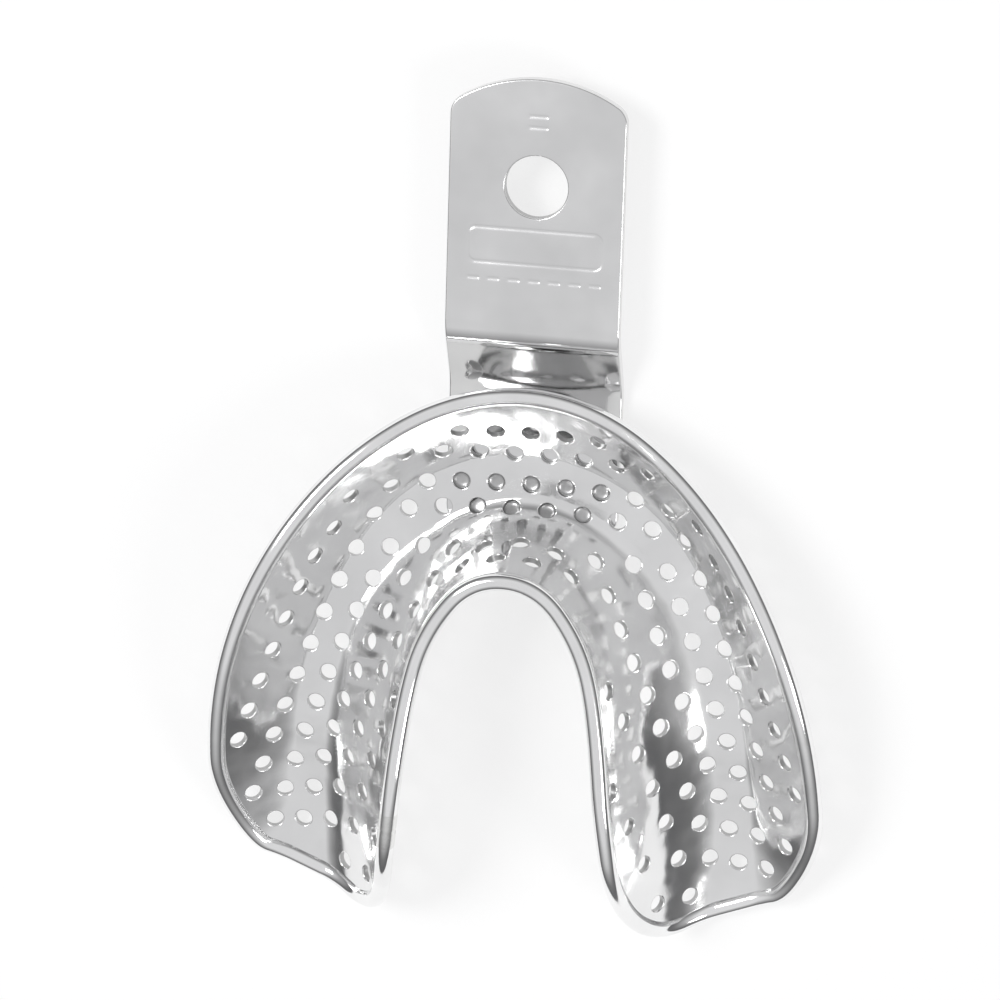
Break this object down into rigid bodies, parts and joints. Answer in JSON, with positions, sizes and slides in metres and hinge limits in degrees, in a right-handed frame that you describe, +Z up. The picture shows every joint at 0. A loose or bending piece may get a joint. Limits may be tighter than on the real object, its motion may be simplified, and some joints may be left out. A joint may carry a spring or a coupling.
{
  "type": "dental impression tray",
  "caption": "Perforated pressed-steel lower-jaw impression tray: a horseshoe trough with a rim wire all round its edge and a flat strip handle with a hanging hole.",
  "frame": {"origin": "bottom centre of the whole tray, on the plane it rests on", "axes": "+Z up out of the trough, +Y along the handle towards its tip, X across the arch, symmetric about X = 0 except for the rim wire's joint"},
  "size_m": [0.0686, 0.0958, 0.018],
  "materials": {
    "polished_steel": "polished stainless sheet, lightly waved by the pressing",
    "rim_steel": "brightly polished stainless wire",
    "handle_steel": "satin polished stainless strip",
    "solder": "dull silver solder"
  },
  "bodies": {
    "root": {"tray_shell": "polished_steel", "rim_wire": "rim_steel", "rim_joint": "solder", "handle": "handle_steel", "solder_plugs": "solder"}
  },
  "joints": []
}
